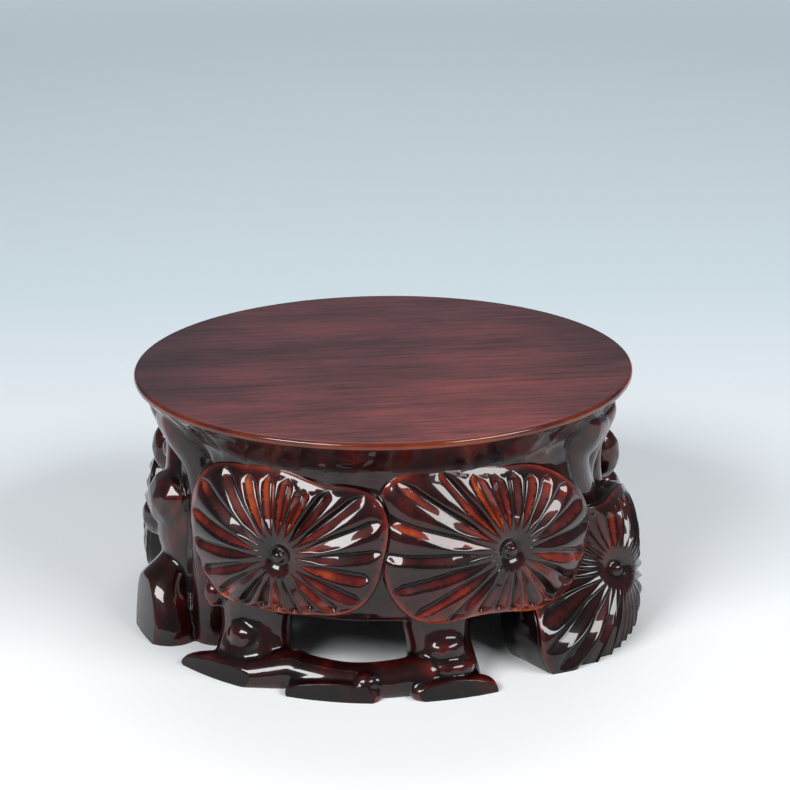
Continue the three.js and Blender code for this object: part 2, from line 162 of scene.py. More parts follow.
satin_face, graph = new_finish("satin_face")
where = graph.node("ShaderNodeTexCoord", out=3)
grain_turn = -0.11
turned_grain = graph.node("ShaderNodeMapping", None, {"Vector": where, "Rotation": (0, 0, grain_turn)})
wander = graph.noise(turned_grain, (26, 55, 20))
figure = graph.noise(turned_grain, (28, 520, 60), 5, 0.65)
pores = graph.noise(turned_grain, (110, 1700, 400), 3, 0.6)
streaks = figure.between(0.3, 0.7) * 0.34 + pores.between(0.35, 0.65) * 0.28
grain = streaks + wander.between(0.3, 0.7) * 0.42
face_colour = graph.node("ShaderNodeValToRGB", {"stops": [
    (0.15, (0.034, 0.012, 0.017)),
    (0.50, (0.077, 0.025, 0.031)),
    (0.85, (0.138, 0.037, 0.044)),
]}, {"Fac": grain})
sideways = where.part(0)
# the face is lighter and redder towards the front right, and painted shade darkens it a little out to
# both sides
front_right_share = (where.part(1) - sideways * 0.6).between(0.05, -0.07)
warmer_face = graph.mix(front_right_share, face_colour, face_colour.times((1.75, 1.35, 1.15)))
painted_side_shade_share = (sideways * sideways - sideways * 0.008).between(0.0006, 0.0036)
face_with_painted_side_shade = graph.mix(painted_side_shade_share, warmer_face, warmer_face.times((0.52, 0.66, 0.72)))
# the rounded edge is rubbed through to a brighter red, and stays glossy
edge_start = (board_rim - edge_round * 0.8) / metre
edge_end = (board_rim - edge_round * 0.3) / metre
edge = where.times((1, 1, 0)).length().between(edge_start, edge_end)
edge_colour = graph.node("ShaderNodeValToRGB", {"stops": [
    (0.30, (0.05, 0.005, 0.003)),
    (0.60, (0.16, 0.024, 0.005)),
]}, {"Fac": graph.noise(where, 90, 3)})
board_bump = graph.node("ShaderNodeBump", None, {
    "Strength": 0.25, "Distance": 0.00006, "Height": grain + pores})
board_shader = graph.node("ShaderNodeBsdfPrincipled", None, {
    "Base Color": graph.mix(edge, face_with_painted_side_shade, edge_colour),
    "Roughness": 0.42 - edge * 0.25,
    "Specular IOR Level": 0.4,
    "Coat Weight": edge * 0.35,
    "Coat Roughness": 0.04,
    "Coat IOR": 1.45,
    "Normal": board_bump,
})
graph.node("ShaderNodeOutputMaterial", None, {"Surface": board_shader})


def smooth_faces(shape):
    for face in shape.faces:
        face.smooth = True


def stand_piece(name, shape, finish, node):
    """Finishes a piece in metres, on the stand's one body, in place of this CAD node."""
    bmesh.ops.scale(shape, vec=(1 / metre, 1 / metre, 1 / metre), verts=shape.verts)
    mesh = bpy.data.meshes.new(name)
    shape.to_mesh(mesh)
    shape.free()
    mesh.materials.append(finish)
    piece = bpy.data.objects.new(name, mesh)
    bpy.context.collection.objects.link(piece)
    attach(piece, "root")
    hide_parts(node)


# half the board's outline: the spigot, a core that the carved cove hides, the lip and the face
spigot_radius = wall_inner - 0.3
spigot_foot = joint_height - 2
board_profile = [
    (0, spigot_foot),
    (spigot_radius, spigot_foot),
    (spigot_radius, joint_height + 1),
    (board_rim - 5, cove_top - 1.2),
    (board_rim - 0.25, cove_top - 0.15),
    (board_rim, cove_top + 0.1),
]
edge_steps = 8
for i in range(edge_steps + 1):
    turn = math.pi / 2 * i / edge_steps
    board_profile.append((
        board_rim - edge_round * (1 - math.cos(turn)),
        stand_height - edge_round * (1 - math.sin(turn)),
    ))
board_profile += [(board_rim - 2, stand_height), (board_rim / 2, stand_height), (0, stand_height)]
board = turned(board_profile, 288)
smooth_faces(board)
stand_piece("top_board_turning", board, satin_face, "top_board")


# The carved ring: the blank is glued up from upright staves, short legs and floor roots, and
# the trunks, burls and roots are carved across the joints and lacquered. It is shaped here as
# one body, and then divided at its joints into the pieces that it is glued up from.
arch_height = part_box("front_left_panel")[0].z * metre
wall_foot = neck_radius + 3


def held(value, low=0, high=1):
    return max(low, min(high, value))


def place(angle, radius, height):
    turn = math.radians(angle)
    return Vector((radius * math.cos(turn), radius * math.sin(turn), height))


def bend(a, b, c, d, t):
    """A smooth curve from b to c, which also heeds the points before and after them."""
    return b + 0.5 * t * (c - a + t * (2 * a - 5 * b + 4 * c - d + t * (3 * b - a - 3 * c + d)))


def along(stations, share):
    last = len(stations) - 1
    step = min(share * last, last - 1e-6)
    i = int(step)
    near = [np.array(stations[held(i + k, 0, last)], float) for k in (-1, 0, 1, 2)]
    return bend(*near, step - i)


def limb(shape, stations):
    """A branch or root through its stations: angle, radius, height, half width and half depth."""
    rings = 8 * len(stations)
    rounded_end = 0.14
    made = bmesh.ops.create_uvsphere(shape, u_segments=20, v_segments=rings, radius=1)["verts"]
    frames = {}
    for vert in made:
        share = math.acos(held(vert.co.z, -1, 1)) / math.pi
        ring = round(share * rings)
        if ring not in frames:
            here = along(stations, share)
            ahead = place(*along(stations, min(1, share + 0.01))[:3])
            before = place(*along(stations, max(0, share - 0.01))[:3])
            tangent = (ahead - before).normalized()
            outward = place(here[0], 1, 0)
            over = (outward - tangent * outward.dot(tangent)).normalized()
            frames[ring] = (place(*here[:3]), tangent.cross(over), over, here[3], here[4])
        middle, side, over, wide, deep = frames[ring]
        near = min(share, 1 - share) / rounded_end
        full = math.sqrt(max(0, 1 - (1 - near) ** 2)) if near < 1 else 1
        turn = math.atan2(vert.co.y, vert.co.x)
        vert.co = middle + side * (wide * full * math.cos(turn)) + over * (deep * full * math.sin(turn))


def knot(shape, angle, radius, height, around, out, up, lean=0):
    """A burl of these half sizes. The gain makes up for its facets, which lie inside the ball."""
    gain = 1.06
    size = Matrix.Diagonal((out * gain, around * gain, up * gain, 1))
    tilt = Matrix.Rotation(math.radians(lean), 4, "X")
    turn = Matrix.Rotation(math.radians(angle), 4, "Z")
    where = Matrix.Translation(place(angle, radius, height)) @ turn @ tilt @ size
    bmesh.ops.create_icosphere(shape, subdivisions=2, radius=1, matrix=where)


half_body = bmesh.new()
# trunks over the low cluster: two strands twist round each other under the cove
limb(half_body, [
    [-30, 56.4, 56, 8, 4],
    [-31.5, 54.4, 51.5, 6.4, 4.2],
    [-33.6, 52.2, 47, 5, 4],
    [-32, 51.6, 41, 4.6, 3.8],
    [-29, 51.4, 35, 4.6, 4],
    [-27, 51, 28, 5, 4.4],
])
limb(half_body, [
    [-21, 55.6, 56, 5.4, 3.8],
    [-21, 53.2, 50.5, 4.8, 3.8],
    [-24.5, 51.4, 45, 4.4, 3.6],
    [-27, 50.8, 39, 4, 3.6],
    [-24, 50.6, 33, 4.6, 4],
    [-21, 50.6, 26, 5.4, 4.6],
])
limb(half_body, [
    [-11, 54.6, 55, 5.4, 3.6],
    [-11.5, 51.8, 49, 4.4, 3.6],
    [-13, 50, 42, 3.8, 3.6],
    [-15, 49.8, 35, 4.6, 4],
    [-14, 50.2, 26, 6, 5],
    [-13, 51, 16, 7, 6],
    [-13, 51, 3, 8, 7],
    [-13, 51, -5, 8, 7],
])
knot(half_body, -4.5, 52.8, 37.4, 4.6, 4.6, 6.6, 8)
# knotted trunk: a smooth upright strip, a second one behind it, burls, and a heavy foot
limb(half_body, [
    [-156, 56.4, 56, 8, 4],
    [-154, 52.4, 50.5, 6, 4],
    [-150.5, 50, 45, 4.8, 3.8],
    [-148.2, 49.4, 38, 4.2, 3.6],
    [-147.5, 49.4, 31, 4, 3.8],
    [-146.4, 49.6, 23, 4.2, 4],
    [-146, 49.4, 15, 5, 4.6],
    [-147, 48.6, 7, 6, 5.4],
    [-148, 48, 0, 7, 6],
    [-148, 48, -5, 7, 6],
])
limb(half_body, [
    [-170, 55.6, 56, 6, 4],
    [-169, 52, 50, 4.8, 3.6],
    [-168, 49.6, 44, 4.8, 3.8],
    [-163, 50, 37, 6.4, 4.6],
    [-161, 50.6, 30, 8.4, 6],
    [-162, 50.8, 23, 8.8, 6.2],
    [-160, 50, 15, 7.6, 5.6],
    [-158, 50, 3, 9, 7],
    [-158, 50, -5, 9, 7],
])
knot(half_body, -173, 50.4, 40.6, 4, 3.6, 3.2, 10)
knot(half_body, -163, 52.6, 31, 9.6, 6.2, 7.4, 22)
knot(half_body, -171.5, 53.8, 24.4, 6.4, 5.8, 5.2, -14)
limb(half_body, [
    [-161.5, 51.4, 18.6, 4.6, 3.6],
    [-160.6, 53.6, 14.6, 6.6, 5],
    [-159.4, 56.2, 9.6, 8.6, 7.6],
    [-158, 57, 4.6, 9.8, 8],
    [-157, 57, 0, 10.2, 8],
    [-157, 56.6, -5, 9.6, 7],
])
# left leg: a broad block with a burr, over a toe that points both ways
limb(half_body, [
    [-126.5, 50.4, 21, 10.4, 6],
    [-126, 50.6, 14, 9.8, 6],
    [-125.4, 51.4, 9, 9, 6.6],
    [-125, 52.6, 4, 9.6, 8],
    [-125, 53, 0, 10, 8.6],
    [-125, 53, -5, 10, 8.6],
])
knot(half_body, -125, 55.4, 8.8, 4.6, 4, 4.2)
knot(half_body, -135, 55.8, 16.8, 2.6, 2.4, 3.2)
limb(half_body, [
    [-139.5, 62.4, 0.2, 1, 1.6],
    [-136.5, 61.4, 0.9, 2.2, 3.2],
    [-131, 60, 1.2, 3.4, 4.8],
    [-124.5, 59.6, 1.3, 4, 5],
    [-118.5, 57.4, 2, 4.4, 5],
    [-112.5, 55.8, 2.8, 4.8, 4.8],
    [-107, 55.6, 3, 4.6, 4.4],
])
# right leg
limb(half_body, [
    [-77.4, 50.4, 21, 8.6, 6],
    [-77, 50.8, 14, 8, 6],
    [-76.8, 51.6, 9, 7.4, 6.8],
    [-76.4, 52.6, 4, 8.2, 8],
    [-76, 52.8, 0, 8.8, 8.6],
    [-76, 52.8, -5, 8.8, 8.6],
])
knot(half_body, -76.4, 55.6, 9.4, 4.8, 3.8, 3, 6)
knot(half_body, -75.6, 57.4, 5.4, 5.4, 3.8, 2.6, -4)
limb(half_body, [
    [-84, 58, 1.2, 2.6, 4],
    [-80, 60.4, 1.2, 3, 4.2],
    [-75, 61.2, 1, 3.4, 4.4],
    [-70, 60.6, 0.4, 3.2, 4.2],
    [-66.4, 60, -0.4, 2.4, 3.6],
])
limb(half_body, [
    [-90, 56.4, 2.6, 4, 4.4],
    [-84, 56.4, 3.2, 4.6, 4.8],
    [-79, 56, 4.4, 4.6, 5],
])
# floor root between the legs, and the sawn block on its outside
limb(half_body, [
    [-118, 55, 2.8, 4.6, 4.6],
    [-108, 56.4, 2.6, 4.5, 4.6],
    [-100, 57, 2.2, 4.4, 4.6],
    [-93, 57, 2.4, 4.4, 4.6],
    [-86, 56.4, 2.8, 4.6, 4.6],
    [-80, 55.4, 3.2, 4.6, 4.6],
])
limb(half_body, [
    [-111.4, 60.4, 0.4, 1.4, 2.2],
    [-108.6, 61.2, 0.7, 2.6, 3.2],
    [-101, 62, 0.9, 3.3, 3.4],
    [-96, 61.6, 0.9, 3, 3.2],
    [-91.6, 59.6, 0.8, 2.2, 2.8],
])
knot(half_body, -94.4, 60.4, 3.4, 2.8, 2.4, 2.6)


def cove_radius(height):
    share = (height - neck_height) / cove_height
    return neck_radius + (board_rim - neck_radius) * (0.75 * share + 0.25 * share * share)


# the wall stands upright with a slight taper, and runs into the cove and up past its rim
ring_foot = arch_height - 0.05
wall_face = wall_foot - 0.6
cove_heights = [neck_height + cove_height * k / 16 for k in range(17)]
ring = turned([
    (wall_inner, ring_foot),
    (wall_face, ring_foot),
    *[(wall_face - 0.11 * k, arch_height + 3 * k) for k in range(1, 9)],
    *[(cove_radius(height), height) for height in cove_heights],
    (board_rim + 0.6, cove_top + 0.8),
    (board_rim + 0.6, stand_height),
    (wall_inner, stand_height),
    (wall_inner, ring_foot),
], 240)
# behind the two panel clusters the staves swell out like a drum: heights, and the swell there
drum = [
    (15, 1.2), (18, 2.9), (24, 3.4), (31, 3.8), (38, 4),
    (43, 3.9), (46.5, 3.3), (48.5, 1.9), (50, 0.6), (52, 0),
]
drum_heights, drum_swells = zip(*drum)
trunk_joint = -141
drum_end = -35
drum_fade = 4
for vert in ring.verts:
    radius = math.hypot(vert.co.x, vert.co.y)
    turn = math.degrees(math.atan2(vert.co.y, vert.co.x)) % 180 - 180
    window = held((turn - trunk_joint) / drum_fade) * held((drum_end - turn) / drum_fade)
    if radius > wall_inner + 1 and window > 0:
        swell = np.interp(vert.co.z, drum_heights, drum_swells) * window
        vert.co.x *= 1 + swell / radius
        vert.co.y *= 1 + swell / radius
half_mesh = bpy.data.meshes.new("half_body")
half_body.to_mesh(half_mesh)
ring.from_mesh(half_mesh)
half_mesh.transform(Matrix.Rotation(math.pi, 4, "Z"))
ring.from_mesh(half_mesh)
blank = bpy.data.meshes.new("blank")
ring.to_mesh(blank)
ring.free()
half_body.free()


def shaped(mesh, *steps):
    """The mesh as the modifiers in these steps leave it."""
    holder = bpy.data.objects.new("holder", mesh)
    bpy.context.collection.objects.link(holder)
    for kind, settings in steps:
        step = holder.modifiers.new(kind, kind)
        for name, value in settings.items():
            setattr(step, name, value)
    bpy.context.view_layer.update()
    finished = holder.evaluated_get(bpy.context.evaluated_depsgraph_get())
    result = bpy.data.meshes.new_from_object(finished)
    bpy.data.objects.remove(holder)
    return result


def read_points(mesh, name):
    """What each point of the mesh holds under this name, as a row of three numbers."""
    values = np.zeros(len(mesh.vertices) * 3, np.float32)
    mesh.vertices.foreach_get(name, values)
    return values.reshape(-1, 3)


voxel = 0.4
body = shaped(
    blank,
    ("REMESH", {"mode": "VOXEL", "voxel_size": voxel}),
    ("SMOOTH", {"factor": 0.5, "iterations": 12}),
)
points = read_points(body, "co")
heights = points[:, 2].copy()
radii = np.hypot(points[:, 0], points[:, 1])
angles = np.arctan2(points[:, 1], points[:, 0])
# the cove is cut with a gouge in short upright strokes, 48 of them round the stand
stroke_depth = 0.35
wobble = 0.9 * np.sin(3 * angles + 1) + 0.5 * np.sin(7 * angles)
stroke = np.abs(np.cos(24 * angles + wobble)) - 0.6
band = np.clip((heights - neck_height - 1) / 3, 0, 1) * np.clip((cove_top - heights) / 2, 0, 1)
carved = radii - stroke_depth * stroke * band * (radii > wall_inner + 2)
# the sawn outside of the blank is left as leaning flats on the toes
toe_height = 14
toe_reach = 63.3
toe_lean = 0.13
toe_limit = toe_reach - toe_lean * np.maximum(heights, 0)
carved = np.where(heights < toe_height, np.minimum(carved, toe_limit), carved)
carved = np.maximum(carved, wall_inner)
points[:, 0] *= carved / radii
points[:, 1] *= carved / radii
points[:, 2] = np.maximum(heights, 0)
body.vertices.foreach_set("co", points.ravel())
body.update()

# how far each point stands out from its surroundings: ridges are rubbed thin, a real wear, and cuts and
# hollows are darkened as painted shade
soft = shaped(body.copy(), ("SMOOTH", {"factor": 0.5, "iterations": 24}))
rise = ((points - read_points(soft, "co")) * read_points(body, "normal")).sum(1)
on_flat = (heights < toe_height) & (carved >= toe_limit - 0.02)
wear_and_shade_tint = np.where(on_flat, 0.06, 0.24 + rise * 2.2)
worn = body.attributes.new("worn", "FLOAT", "POINT")
worn.data.foreach_set("value", np.clip(wear_and_shade_tint, 0, 1).astype(np.float32))

lacquer, graph = new_finish("lacquer")
where = graph.node("ShaderNodeTexCoord", out=3)
# the points' tone: rubbed wear on ridges and rims, painted shade in cuts and hollows, and painted light
# on some sides of the bosses
rubbed_and_shaded = graph.node("ShaderNodeAttribute", {"attribute_name": "worn"}, out=2)
blotch = graph.noise(where, 90, 4, 0.6)
fleck = graph.noise(where, (300, 300, 90), 3, 0.6)
tooled = where.part(2).between((neck_height + 1) / metre, (neck_height + 4) / metre)
tone = rubbed_and_shaded + (blotch - 0.5) * 1.3 + (fleck - 0.5) * 0.35 + tooled * 0.08
lacquer_colour = graph.node("ShaderNodeValToRGB", {"stops": [
    (0.10, (0.004, 0.001, 0.001)),
    (0.36, (0.022, 0.002, 0.002)),
    (0.58, (0.075, 0.006, 0.005)),
    (0.80, (0.210, 0.022, 0.007)),
    (1.00, (0.400, 0.080, 0.012)),
]}, {"Fac": tone})
skin = graph.noise(where, 190, 3, 0.55)
lacquer_bump = graph.node("ShaderNodeBump", None, {"Strength": 0.3, "Distance": 0.0003, "Height": skin})
lacquer_shader = graph.node("ShaderNodeBsdfPrincipled", None, {
    "Base Color": lacquer_colour,
    "Roughness": 0.35,
    "Specular IOR Level": 0.1,
    "Coat Weight": 0.6 + rubbed_and_shaded.between(0.05, 0.15) * 0.4,
    "Coat Roughness": 0.03,
    "Coat IOR": 1.46,
    "Normal": lacquer_bump,
})
graph.node("ShaderNodeOutputMaterial", None, {"Surface": lacquer_shader})


def cut(shape, at, away):
    """Saws off what lies beyond a plane, and closes the cut with a flat face."""
    parts = list(shape.verts) + list(shape.edges) + list(shape.faces)
    sawn = bmesh.ops.bisect_plane(
        shape, geom=parts, dist=1e-5, plane_co=at, plane_no=away, clear_outer=True, clear_inner=False
    )
    edges = [one for one in sawn["geom_cut"] if isinstance(one, bmesh.types.BMEdge)]
    if not edges:
        return
    caps = bmesh.ops.triangle_fill(shape, use_beauty=True, use_dissolve=False, edges=edges)["geom"]
    for cap in caps:
        if isinstance(cap, bmesh.types.BMFace):
            cap.smooth = False
            if cap.normal.dot(away) < 0:
                cap.normal_flip()
    for one in edges:
        if one.is_valid:
            one.smooth = False


def clockwise(angle):
    """The level direction square to this angle, towards smaller angles."""
    return -place(angle + 90, 1, 0)


def sawn_out(source, low=None, high=None, left=None, right=None):
    """A copy of what lies between these heights and between these angles."""
    shape = source.copy()
    if high is not None:
        cut(shape, (0, 0, high), Vector((0, 0, 1)))
    if low is not None:
        cut(shape, (0, 0, low), Vector((0, 0, -1)))
    if left is not None:
        cut(shape, (0, 0, 0), clockwise(left))
    if right is not None:
        cut(shape, (0, 0, 0), -clockwise(right))
    return shape


whole = bmesh.new()
whole.from_mesh(body)
smooth_faces(whole)
cove = sawn_out(whole, low=joint_height, high=cove_top - 0.1)
stand_piece("top_board_cove", cove, lacquer, "top_board")
lower = sawn_out(whole, high=joint_height)
whole.free()
front = sawn_out(lower, left=-180)
lower.free()
staves = sawn_out(front, low=arch_height)
feet = sawn_out(front, high=arch_height)
front.free()


def both_halves(shape, front_name, back_name, front_node, back_node):
    """The piece in the front half, and the same piece half a turn round in the back half."""
    other = shape.copy()
    half_turn = Matrix.Rotation(math.pi, 3, "Z")
    bmesh.ops.rotate(other, cent=(0, 0, 0), matrix=half_turn, verts=other.verts)
    stand_piece(front_name, shape, lacquer, front_node)
    stand_piece(back_name, other, lacquer, back_node)


# the upright joints of the staves, and of the legs and roots below them
panel_joint = -88.5
post_joint = -34
leg_joint = -112
root_joint = -85.5
foot_joint = -58
both_halves(
    sawn_out(staves, left=trunk_joint, right=panel_joint),
    "front_left_stave", "back_right_stave", "front_left_panel", "back_right_panel",
)
both_halves(
    sawn_out(staves, left=panel_joint, right=post_joint),
    "front_right_stave", "back_left_stave", "front_right_panel", "back_left_panel",
)
both_halves(
    sawn_out(staves, left=post_joint),
    "right_post_stave", "left_post_stave", "right_cluster_post", "left_cluster_post",
)
both_halves(
    sawn_out(staves, right=trunk_joint),
    "left_trunk", "right_trunk", "left_trunk_post", "right_trunk_post",
)
both_halves(
    sawn_out(feet, right=trunk_joint),
    "left_trunk_foot", "right_trunk_foot", "left_trunk_post", "right_trunk_post",
)
both_halves(
    sawn_out(feet, left=trunk_joint, right=leg_joint),
    "front_left_leg_carved", "back_right_leg_carved", "front_left_leg", "back_right_leg",
)
both_halves(
    sawn_out(feet, left=leg_joint, right=root_joint),
    "front_root_carved", "back_root_carved", "front_floor_root", "back_floor_root",
)
both_halves(
    sawn_out(feet, left=root_joint, right=foot_joint),
    "front_right_leg_carved", "back_left_leg_carved", "front_right_leg", "back_left_leg",
)
both_halves(
    sawn_out(feet, left=foot_joint),
    "right_post_foot", "left_post_foot", "right_cluster_post", "left_cluster_post",
)


# The pine-needle clusters: a domed boss carved proud of each stave, with a bead in a smooth
# dish and leaf-shaped gouge cuts that run out towards the rim, all under the same lacquer.
cluster_size = 25
dish_start = 1.5
dish_end = 5.6


def rim_distance(cluster, turn):
    """How far the rim lies from the bead this way, through the shares in the outline."""
    shares = cluster["outline"]
    step = turn / (2 * math.pi) * len(shares)
    i = math.floor(step)
    near = [shares[(i + k) % len(shares)] for k in (-1, 0, 1, 2)]
    return cluster_size * bend(*near, step - i)


def soft_step(value, low, high):
    share = held((value - low) / (high - low))
    return share * share * (3 - 2 * share)


def whim(i, k):
    """A number from -1 to 1 that differs from gouge to gouge, as hand work does."""
    return math.sin(12.9898 * (i + 1) + 78.233 * (k + 1)) * 0.5 + math.sin(4.1 * i + 9.7 * k) * 0.5


def gouge_cut(cluster, distance, turn):
    """The gouge nearest this turn: its number, how far this point is aside of its middle, half
    its width, its share of its full depth, the pitch and how far its valley is off its middle.
    The turn comes back too, drawn aside so that points lie along each valley and each edge."""
    gouges = cluster["gouges"]
    skew = 0.42
    narrowest = 0.14
    step = (turn / (2 * math.pi) * gouges + cluster["spin"]) % gouges
    i = int(step)
    rim = rim_distance(cluster, turn)
    pitch = 2 * math.pi * max(distance, 0.1) / gouges
    start = 4.4 + 0.7 * whim(i, 1)
    end = rim - cluster["land"] * (0.7 + 0.3 * math.sin(turn)) + 0.8 * whim(i, 2)
    share = (distance - start) / (end - start)
    leaf = 0
    if 0 < share < 1:
        leaf = min(1, share / 0.3) ** 0.7 * min(1, (1 - share) / cluster["taper"]) ** 0.5
    half = min(cluster["gouge_width"] / 2, cluster["cut_share"] * pitch) * leaf
    half *= 1 + 0.12 * whim(i, 3)
    valley = skew * math.cos(turn) * half
    edge = max(half, narrowest * pitch)
    offset = step - i - 0.5
    if abs(offset) < 0.25:
        aside = valley + 4 * offset * (edge - math.copysign(valley, valley * offset))
    else:
        aside = math.copysign(edge + (abs(offset) - 0.25) * 4 * (pitch / 2 - edge), offset)
    drawn = turn + (aside / pitch - offset) * 2 * math.pi / gouges
    return (i, aside, half, leaf, pitch, valley), drawn


def relief(cluster, distance, turn, rim, stroke, limit):
    """Height of the carved face over the rim, and the lacquer's tone there: its wear, with painted shade
    and painted light.
    """
    i, aside, half, leaf, pitch, valley = stroke
    share = min(1, distance / rim)
    # a dome, drawn in smoothly where the next cluster lies over it
    height = cluster["crown"] * (1 - share ** cluster["fall"])
    blend = 3
    overlap = max(0, blend - abs(height - limit))
    height = min(height, limit) - overlap * overlap / (4 * blend)
    # in its middle a dish, a bead in the dish, and a groove round the bead
    height -= 1 - soft_step(distance, dish_start, dish_end)
    bead = max(0, 1 - (distance / cluster["bead"]) ** 2)
    height += 0.83 * cluster["bead"] * math.sqrt(bead)
    from_groove = distance - cluster["bead"] - 0.7
    height -= 0.35 * math.exp(-(from_groove / 0.6) ** 2)
    worn = 0.3
    if leaf > 0:
        depth = cluster["gouge_depth"] * leaf * (0.5 + 0.5 * min(1, half / 1.2))
        if abs(aside) < half:
            # in the cut: painted shade makes it darkest along its valley and on its steep flank, and
            # painted light makes the cuts lighter on the upper half and darker on the lower
            flank = half - valley if aside > valley else half + valley
            side = abs(aside - valley) / max(flank, 1e-3)
            height -= depth * (1 - side ** 1.12)
            worn = cluster["gouge_tint"] + 0.17 * whim(i, 5) + 0.1 * math.sin(turn)
            worn += 0.2 * soft_step(side, 0.15, 0.5)
            steep = soft_step(half / max(flank, 1e-3), 1.05, 1.35)
            worn -= 0.45 * max(steep, 1 - soft_step(side, 0, 0.25))
        else:
            # on the land between two cuts, which swells a little, with painted shade beside them
            land = min(1, (abs(aside) - half) / max(0.2, pitch / 2 - half))
            height += 0.28 * (1 - (1 - land) ** 2) * min(1, half)
            worn = 0.3 - 0.2 * math.exp(-((abs(aside) - half) / 0.3) ** 2)
    # the rim is rubbed the most
    worn += 0.35 * soft_step(share, 0.93, 1)
    # painted light on the lower half, which turns to painted shade where its number is below nought
    worn += cluster["lower_half_painted_light"] * soft_step(-math.sin(turn), 0, 0.7) * share
    # painted shade in the groove round the bead
    worn -= 0.25 * math.exp(-(from_groove / 0.7) ** 2)
    return height, worn


def behind(in_front, cluster, sideways, up):
    """How far out a cluster may stand where the next one lies over it."""
    over = math.radians(cluster["angle"] - in_front["angle"]) * in_front["rim"]
    over += sideways * in_front["rim"] / cluster["rim"]
    above = cluster["height"] + up - in_front["height"]
    clear = math.hypot(over, above) - rim_distance(in_front, math.atan2(above, over))
    step_back = 0.8
    slope = 0.8 if clear > 0 else 1.5
    return in_front["rim"] - step_back - cluster["rim"] + slope * clear


def pine_cluster(cluster, in_front=None):
    """A boss spun as a disc, with its rim at 1 and its margin out to 2, and bent to its place."""
    sink = cluster["sink"]
    unlimited = 100
    steps = cluster["gouges"] * 20
    count = 64
    # the carved face, the rounded edge of its rim, and the side that goes down into the stave
    line = [(i / count, 0) for i in range(count + 1)]
    line += [(1.06, -0.1), (1.14, -0.35), (1.28, -0.75), (1.4, -0.9), (1.6, -0.92), (1.85, -1.0)]
    line += [(2, -1.3), (2, -0.5 * sink), (2, -sink), (0.5, -sink), (0, -sink)]
    shape = turned(line, steps)
    tone = shape.verts.layers.float.new("worn")
    for vert in shape.verts:
        share = math.hypot(vert.co.x, vert.co.y)
        turn = math.atan2(vert.co.y, vert.co.x)
        stroke, turn = gouge_cut(cluster, min(1, share) * rim_distance(cluster, turn), turn)
        rim = rim_distance(cluster, turn)
        margin = cluster["margin"] * (0.35 + 0.65 * soft_step(math.sin(turn), -0.2, 0.5))
        inside = min(1, share)
        distance = rim * inside + margin * max(0, share - 1)
        depth = vert.co.z
        sideways = distance * math.cos(turn)
        up = distance * math.sin(turn)
        limit = behind(in_front, cluster, sideways, up) if in_front else unlimited
        height, worn = relief(cluster, rim * inside, turn, rim, stroke, limit)
        if depth <= -sink + 0.01:
            height = 0
        if share > 1:
            worn = 0.1
        lean = cluster["lean_back"] * max(0, up) ** 2 + cluster["flare"] * min(0, up)
        angle = cluster["angle"] + math.degrees(sideways / cluster["rim"])
        vert[tone] = worn
        vert.co = place(angle, cluster["rim"] + height + depth - lean, cluster["height"] + up)
    smooth_faces(shape)
    bmesh.ops.recalc_face_normals(shape, faces=shape.faces)
    return shape


high = {
    "height": arch_height + 15.5, "rim": wall_foot + 4.2, "crown": 1.9, "fall": 3,
    "lean_back": 0.012, "flare": 0, "sink": 5, "margin": 1.8, "bead": 1.5,
    "gouges": 22, "gouge_width": 2.9, "gouge_depth": 1.2, "cut_share": 0.35,
    "land": 1.3, "taper": 0.12, "gouge_tint": 0.34, "lower_half_painted_light": 0.24,
}
high_left = {
    **high, "angle": -114, "spin": 0.2,
    "outline": [0.94, 1.06, 0.76, 0.74, 0.84, 1.12, 1.05, 0.93, 0.64, 0.56, 0.62, 0.85],
}
high_right = {
    **high, "angle": -61.4, "spin": 0.6,
    "outline": [1.07, 0.9, 0.78, 0.73, 0.9, 1.32, 1.2, 1.07, 0.68, 0.61, 0.77, 0.99],
}
low_cluster = {
    "height": 18.2, "rim": wall_foot + 6.2, "crown": 5.4, "fall": 2.2,
    "lean_back": 0.004, "flare": 0.16, "sink": 14.5, "margin": 0.6, "bead": 1.2,
    "gouges": 30, "gouge_width": 3.8, "gouge_depth": 1.0, "cut_share": 0.42,
    "land": 1.8, "taper": 0.16, "gouge_tint": 0.22, "lower_half_painted_light": -0.1,
    "angle": -30, "spin": 0.3,
    "outline": [0.98, 0.97, 0.74, 0.62, 0.7, 0.9, 0.94, 1.17, 1.16, 0.94, 0.95, 1],
}
left_cluster = pine_cluster(high_left)
cut(left_cluster, (0, 0, 0), clockwise(trunk_joint))
both_halves(
    left_cluster,
    "front_left_pine_cluster", "back_right_pine_cluster", "front_left_panel", "back_right_panel",
)
# the right cluster's tip reaches over the joint, and is carved on the left stave
right_cluster = pine_cluster(high_right, high_left)
cluster_tip = right_cluster.copy()
cut(cluster_tip, (0, 0, 0), -clockwise(panel_joint))
both_halves(
    cluster_tip,
    "front_right_pine_cluster_tip", "back_left_pine_cluster_tip", "front_left_panel", "back_right_panel",
)
cut(right_cluster, (0, 0, 0), clockwise(panel_joint))
cut(right_cluster, (0, 0, 0), -clockwise(post_joint))
both_halves(
    right_cluster,
    "front_right_pine_cluster", "back_left_pine_cluster", "front_right_panel", "back_left_panel",
)
post_cluster = pine_cluster(low_cluster, high_right)
cut(post_cluster, (0, 0, 0), Vector((0, 0, -1)))
both_halves(
    post_cluster,
    "right_low_pine_cluster", "left_low_pine_cluster", "right_cluster_post", "left_cluster_post",
)


